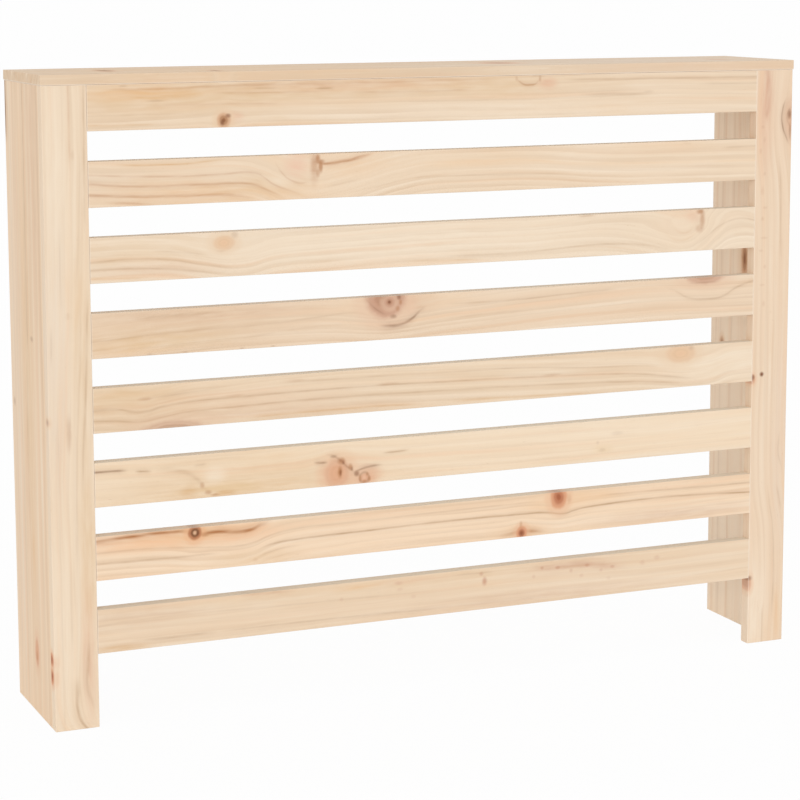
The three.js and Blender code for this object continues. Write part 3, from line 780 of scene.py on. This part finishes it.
def paint_marks(colour, board, place, uneven, ragged):
    """The board's stains, growth lines, knots and flecks over its even grain."""
    along, across, depth = place
    low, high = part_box(board.node)
    ends = (low[board.along] / MM, high[board.along] / MM)
    totals = {}
    for mark in board.marks:
        if isinstance(mark, Patch):
            share = ellipse(mark, along, across).ramp(*PATCH_FADE, mark.share, 0.0) * uneven
            colour = mix(colour, STAINS[mark.stain], share)
        elif isinstance(mark, Line):
            share = line_share(mark, along, across, ends)
            total = totals.get(mark.stain)
            totals[mark.stain] = total.math("MAXIMUM", share) if total else share
    cracks = totals.pop("bark", None)
    for stain, total in totals.items():
        colour = mix(colour, STAINS[stain], total * uneven)
    for mark in board.marks:
        if isinstance(mark, Knot):
            colour = paint_knot(colour, mark, place, ragged)
        elif isinstance(mark, Fleck):
            reach = ellipse(mark, along, across) + ragged * FLECK_RAGGED
            colour = mix(colour, STAINS[mark.stain], reach.ramp(*FLECK_FADE, mark.tone, 0.0))
    if cracks:
        colour = mix(colour, STAINS["bark"], cracks * uneven)
    return colour


def board_place(tree, board):
    """Millimetres along, across and through the board."""
    low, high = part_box(board.node)
    axes = object_place(tree)
    through = 3 - board.along - board.across
    along = axes[board.along] * MM_PER_METRE
    if board.edge == "low":
        across = (axes[board.across] - low[board.across]) * MM_PER_METRE
    else:
        across = (axes[board.across] * -1.0 + high[board.across]) * MM_PER_METRE
    depth = (axes[through] - low[through]) * MM_PER_METRE
    return along, across, depth


def facing(tree):
    """The parts of the object's own surface direction, as fields."""
    normal = tree.nodes.new("ShaderNodeNewGeometry")
    turn = tree.nodes.new("ShaderNodeVectorTransform")
    turn.vector_type = "NORMAL"
    turn.convert_from = "WORLD"
    turn.convert_to = "OBJECT"
    tree.links.new(normal.outputs["True Normal"], turn.inputs[0])
    split = tree.nodes.new("ShaderNodeSeparateXYZ")
    tree.links.new(turn.outputs[0], split.inputs[0])
    return [Field(tree, socket) for socket in split.outputs]


# Noise that follows the grain: its lengths along, across and through the board, what is added to the
# board's seed, and the noise's own detail and roughness.
Grain = namedtuple("Grain", "along across through seed detail roughness", defaults=(2.0, 0.5))
WANDER = Grain(420.0, 120.0, 120.0, 0, 1.0)
RIPPLE = Grain(60.0, 22.0, 22.0, 3)
BAND = Grain(600.0, 11.0, 24.0, 9)
TINT = Grain(150.0, 24.0, 40.0, 17)
STREAK = Grain(120.0, 3.0, 3.0, 13)
FIBRE = Grain(30.0, 0.55, 0.55, 11, 3.0, 0.6)
CANAL = Grain(9.0, 0.7, 0.7, 15, 1.0)
UNEVEN = Grain(40.0, 5.0, 9.0, 21)
RAGGED = Grain(12.0, 12.0, 12.0, 19)

WANDER_REACH = 9.0  # the grain wanders and ripples this many millimetres across the board
RIPPLE_REACH = 1.2
RAGGED_REACH = 0.16  # a knot's outline strays by this share of its size


def grain_noise(grain, place, seed):
    along, across, depth = place
    places = (along / grain.along, across / grain.across, depth / grain.through)
    return noise(along.tree, places, seed + grain.seed, grain.detail, grain.roughness)


def grain_level(board, place, seed):
    """The grain's own place across the board, once it has drifted, wandered and gone round knots."""
    along, across, depth = place
    level = across + grain_noise(WANDER, place, seed) * WANDER_REACH
    level = level + grain_noise(RIPPLE, place, seed) * RIPPLE_REACH
    if board.node in FLOWS:
        level = level - curve_through(along, FLOWS[board.node], CURVE_REACH)
    for knot in (mark for mark in board.marks if isinstance(mark, Knot)):
        level = level - pushed_aside(knot, along, across)
    return level


RING_STRAY = 1.1  # rings are unevenly spaced, by up to this many rings
STRAY_RATE = 0.55  # and the spacing changes this fast, from ring to ring
STRENGTH_RATE = 0.37  # as their strength does
STRENGTH_LENGTH = 260.0
STRENGTH_RANGE = (0.04, 0.42)
LATE_FROM, LATE_TO = 0.1, 0.88  # late wood darkens over this part of a ring and then stops short


def late_wood(board, place, level, seed):
    """How dark the growth rings are, unevenly spaced and each with its own strength."""
    along, across, depth = place
    pith_across, pith_depth = board.pith
    rings = (level - pith_across).hypot(depth - pith_depth) / board.ring
    rings = rings + noise(along.tree, (rings * STRAY_RATE, 0.0, 0.0), seed + 5) * RING_STRAY
    ring = rings.math("FRACT")
    steps = (rings.math("FLOOR") * STRENGTH_RATE, along / STRENGTH_LENGTH, 0.0)
    strength = noise(along.tree, steps, seed + 7).ramp(-0.45, 0.6, *STRENGTH_RANGE) * board.contrast
    return ring.ramp(LATE_FROM, LATE_TO) * ring.ramp(LATE_TO, 1.0, 1.0, 0.0) * strength


ARRIS_NORMAL = (0.78, 0.95)  # the largest part of the direction that an eased edge faces, and a flat one
ARRIS_LIGHT_SHARE = 0.7  # painted light: an eased edge is painted paler than the faces beside it, lifting the shade in the grooves at the joints
ARRIS_LIGHT_COLOUR = (252, 240, 222)
END_COLOUR = (206, 170, 130)
END_SHARE = 0.15
END_RINGS = 0.5  # how much more its rings show
# painted light: the slats' upward faces are tinted greyer and paler, as if lit from above in the gaps
UPPER_FACE_LIGHT_COLOUR = (216, 210, 194)
UPPER_FACE_LIGHT_SHARE = 0.5
# painted light: the wood beside the top board's joint and beside the slats' ends is painted paler,
# lifting the shade in those joints
SEAM_LIGHT_COLOUR = (255, 248, 236)
SEAM_BAND = (0.8, 1.1)  # millimetres from the joint
LEVEL_SEAM_LIGHT_SHARE = 0.45
UPRIGHT_SEAM_LIGHT_SHARE = 0.3
TOP_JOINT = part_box("top_board")[0][Z] * MM_PER_METRE  # under the top board
SLAT_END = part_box("right_stile")[0][X] * MM_PER_METRE  # between the slats and the stiles


def seam_painted_light(tree, normal):
    """How much painted light lifts the shade on the eased edges beside the top board's joint and beside
    the slats' ends.
    """
    x, _, z = (metres * MM_PER_METRE for metres in object_place(tree))
    level = (z - TOP_JOINT).math("ABSOLUTE").ramp(*SEAM_BAND, LEVEL_SEAM_LIGHT_SHARE, 0.0)
    level = level * normal[Z].math("ABSOLUTE").ramp(0.8, 0.95, 1.0, 0.0)
    upright = (x.math("ABSOLUTE") - SLAT_END).math("ABSOLUTE").ramp(*SEAM_BAND, UPRIGHT_SEAM_LIGHT_SHARE, 0.0)
    upright = upright * normal[Y].ramp(-0.6, -0.5, 1.0, 0.0) * z.ramp(TOP_JOINT, TOP_JOINT - 1.0)
    return level.math("MAXIMUM", upright)


def paint_edges(colour, board, late):
    """End grain, and painted light: paler slats' upper faces, paler eased edges and paler wood beside the
    joints, lifting their shade.
    """
    tree = late.tree
    normal = facing(tree)
    end = normal[board.along].math("ABSOLUTE").ramp(0.6, 0.9)
    colour = mix(colour, END_COLOUR, end * (late * END_RINGS + END_SHARE))
    # painted light on the slats' upward faces, as if lit from above
    if board.node.startswith("slat_") and board.node != "slat_1":
        colour = mix(colour, UPPER_FACE_LIGHT_COLOUR, normal[Z].ramp(0.5, 0.9, 0.0, UPPER_FACE_LIGHT_SHARE))
    # painted light: eased edges are painted paler, lifting their shade
    largest = normal[X].math("ABSOLUTE")
    for part in (normal[Y], normal[Z]):
        largest = largest.math("MAXIMUM", part.math("ABSOLUTE"))
    colour = mix(colour, ARRIS_LIGHT_COLOUR, largest.ramp(*ARRIS_NORMAL, ARRIS_LIGHT_SHARE, 0.0))
    return mix(colour, SEAM_LIGHT_COLOUR, seam_painted_light(tree, normal))


RING_COLOUR = (198, 166, 132)
PEACH = (236, 200, 166)
CREAM = (245, 229, 208)
FIBRE_COLOUR = (214, 184, 152)

BUMP_STRENGTH = 0.35
BUMP_HEIGHT = 0.12 * MM
WOOD_ROUGHNESS = 0.66
WOOD_SPECULAR = 0.25


def wash(under, over, field, start, end, share):
    """One colour laid over another, up to a share of it, as a field goes from start to end."""
    return mix(under, over, field.ramp(start, end, 0.0, share))


def pine(board, seed):
    """Planed, unfinished pine: growth rings round a pith, fibres, stains, knots and end grain, with
    painted light on upper faces, eased edges and beside the joints.
    """
    material, tree, shader = new_material(f"pine_{board.node}")
    place = along, across, depth = board_place(tree, board)
    level = grain_level(board, place, seed)
    late = late_wood(board, place, level, seed)
    grain = (along, level, depth)
    band, tint, streak, fibre, canal = (
        grain_noise(kind, grain, seed) for kind in (BAND, TINT, STREAK, FIBRE, CANAL)
    )
    uneven = grain_noise(UNEVEN, grain, seed).ramp(-0.5, 0.5, 0.5, 1.3)
    ragged = grain_noise(RAGGED, place, seed) * RAGGED_REACH

    colour = wash(board.tone, PEACH, band, 0.0, 0.55, 0.6)
    colour = wash(colour, CREAM, band, 0.0, -0.55, 0.6)
    colour = wash(colour, STAINS["amber"], tint, 0.1, 0.8, 0.25)
    colour = mix(colour, RING_COLOUR, late)
    colour = wash(colour, FIBRE_COLOUR, streak, 0.0, 0.7, 0.26)
    colour = wash(colour, CREAM, streak, 0.0, -0.7, 0.4)
    colour = wash(colour, FIBRE_COLOUR, fibre, 0.1, 0.8, 0.34)
    colour = wash(colour, STAINS["late"], canal, 0.42, 0.6, 0.35)
    colour = paint_marks(colour, board, place, uneven, ragged)
    colour = paint_edges(colour, board, late)
    tree.links.new(colour, shader.inputs["Base Color"])

    relief = fibre * 0.4 + late * 0.8 + streak * 0.3
    bump = tree.nodes.new("ShaderNodeBump")
    bump.inputs["Strength"].default_value = BUMP_STRENGTH
    bump.inputs["Distance"].default_value = BUMP_HEIGHT
    tree.links.new(relief.socket, bump.inputs["Height"])
    tree.links.new(bump.outputs[0], shader.inputs["Normal"])
    roughness = fibre * 0.05 + late * -0.08 + WOOD_ROUGHNESS
    tree.links.new(roughness.socket, shader.inputs["Roughness"])
    shader.inputs["Specular IOR Level"].default_value = WOOD_SPECULAR
    return material


# ------------------------------------------------------------------ dowels and screws

BEECH, BEECH_FLECK = (214, 176, 134), (178, 132, 92)
ZINC, ZINC_MOTTLE = (206, 208, 210), (170, 172, 170)


def beech():
    """Turned beech with fine flecks along the dowel."""
    material, tree, shader = new_material("turned_beech")
    x, y, z = (metres * MM_PER_METRE for metres in object_place(tree))
    fleck = noise(tree, (x / 3.0, y / 0.5, z / 0.5), 2)
    colour = mix(BEECH, BEECH_FLECK, fleck.ramp(0.0, 0.8, 0.0, 0.7))
    tree.links.new(colour, shader.inputs["Base Color"])
    tree.links.new((fleck * 0.06 + 0.62).socket, shader.inputs["Roughness"])
    return material


def zinc():
    """Zinc plate: bright grey metal with a faint mottle."""
    material, tree, shader = new_material("zinc_plate")
    x, y, z = (metres * MM_PER_METRE for metres in object_place(tree))
    mottle = noise(tree, (x / 0.8, y / 0.8, z / 0.8), 5, 3.0)
    colour = mix(ZINC, ZINC_MOTTLE, mottle.ramp(-0.4, 0.6))
    tree.links.new(colour, shader.inputs["Base Color"])
    tree.links.new((mottle * 0.08 + 0.34).socket, shader.inputs["Roughness"])
    shader.inputs["Metallic"].default_value = 1.0
    return material


FIRST_SEED, SEED_STEP = 1.0, 2.7  # so that no two boards have the same grain


def dress(node, material):
    for slot in frame["nodes"][node].material_slots:
        slot.material = material


def finish_surfaces():
    for number, board in enumerate(boards()):
        dress(board.node, pine(board, FIRST_SEED + SEED_STEP * number))
    dowel_material, screw_material = beech(), zinc()
    for node in frame["nodes"]:
        if node.endswith("_dowel"):
            dress(node, dowel_material)
        elif "_screw_" in node:
            dress(node, screw_material)


# ------------------------------------------------------------------ studio

FLOOR_SIZE = 160.0
FLOOR_DROP = 0.0002  # the floor lies just under the feet
FLOOR_GREY = (246, 246, 246)
FLOOR_WHITE = 0.955  # share of plain white that the camera sees; the rest takes the shadow
WORLD_WHITE = (255, 255, 255)
WORLD_LIGHT = 0.80
SUN_LIGHT = 0.95
SUN_ANGLE = math.radians(35)
SUN_FROM = (-0.50, -0.84, 0.20)


def seen_directly(tree):
    """1 for rays that show the background: from the camera, off gloss or through glass."""
    rays = tree.nodes.new("ShaderNodeLightPath")
    camera, glossy, glass = (
        Field(tree, rays.outputs[name])
        for name in ("Is Camera Ray", "Is Glossy Ray", "Is Transmission Ray")
    )
    return camera.math("MAXIMUM", glossy).math("MAXIMUM", glass)


def floor():
    bpy.ops.mesh.primitive_plane_add(size=FLOOR_SIZE, location=(0, 0, -FLOOR_DROP))
    plane = bpy.context.object
    plane.name = "studio_floor"
    material, tree, shader = new_material("white_floor")
    shader.inputs["Base Color"].default_value = linear(FLOOR_GREY)
    shader.inputs["Roughness"].default_value = 1.0
    shader.inputs["Specular IOR Level"].default_value = 0.0
    glow = tree.nodes.new("ShaderNodeEmission")
    both = tree.nodes.new("ShaderNodeMixShader")
    output = tree.nodes["Material Output"]
    tree.links.new((seen_directly(tree) * FLOOR_WHITE).socket, both.inputs["Fac"])
    tree.links.new(shader.outputs[0], both.inputs[1])
    tree.links.new(glow.outputs[0], both.inputs[2])
    tree.links.new(both.outputs[0], output.inputs["Surface"])
    plane.data.materials.append(material)


def world():
    backdrop = bpy.data.worlds.new("white_studio")
    backdrop.use_nodes = True
    tree = backdrop.node_tree
    light = tree.nodes["Background"]
    light.inputs["Color"].default_value = linear(WORLD_WHITE)
    strength = seen_directly(tree).ramp(0.0, 1.0, WORLD_LIGHT, 1.0)
    tree.links.new(strength.socket, light.inputs["Strength"])
    bpy.context.scene.world = backdrop


def direction_to(source):
    """The turn that makes a lamp shine from the given direction."""
    x, y, z = source
    level = math.hypot(x, y)
    return Euler((math.atan2(level, z), 0.0, math.atan2(x, -y)), "XYZ")


def key_light():
    lamp = bpy.data.lights.new("soft_key", "SUN")
    lamp.energy = SUN_LIGHT
    lamp.angle = SUN_ANGLE
    key = bpy.data.objects.new("soft_key", lamp)
    key.rotation_euler = direction_to(SUN_FROM)
    bpy.context.collection.objects.link(key)


CAMERA_AT = (-1.2874, -2.9935, 0.9660)
CAMERA_TURN = (math.radians(90 - 8.025), math.radians(0.179), math.radians(-22.958))
CAMERA_LENS = 107.6
CAMERA_SENSOR = 36.0
CAMERA_SHIFT = -0.115  # part of the photograph's own, so that the other views keep the whole cover
CAMERA_REACH = 400.0


def camera():
    data = bpy.data.cameras.new("photo_camera")
    data.lens = CAMERA_LENS
    data.sensor_width = CAMERA_SENSOR
    data.shift_y = CAMERA_SHIFT
    data.clip_end = CAMERA_REACH
    view = bpy.data.objects.new("photo_camera", data)
    view.location = CAMERA_AT
    view.rotation_euler = CAMERA_TURN
    bpy.context.collection.objects.link(view)
    bpy.context.scene.camera = view


bpy.context.scene.view_settings.view_transform = "Standard"
camera()
world()
key_light()
floor()
finish_surfaces()
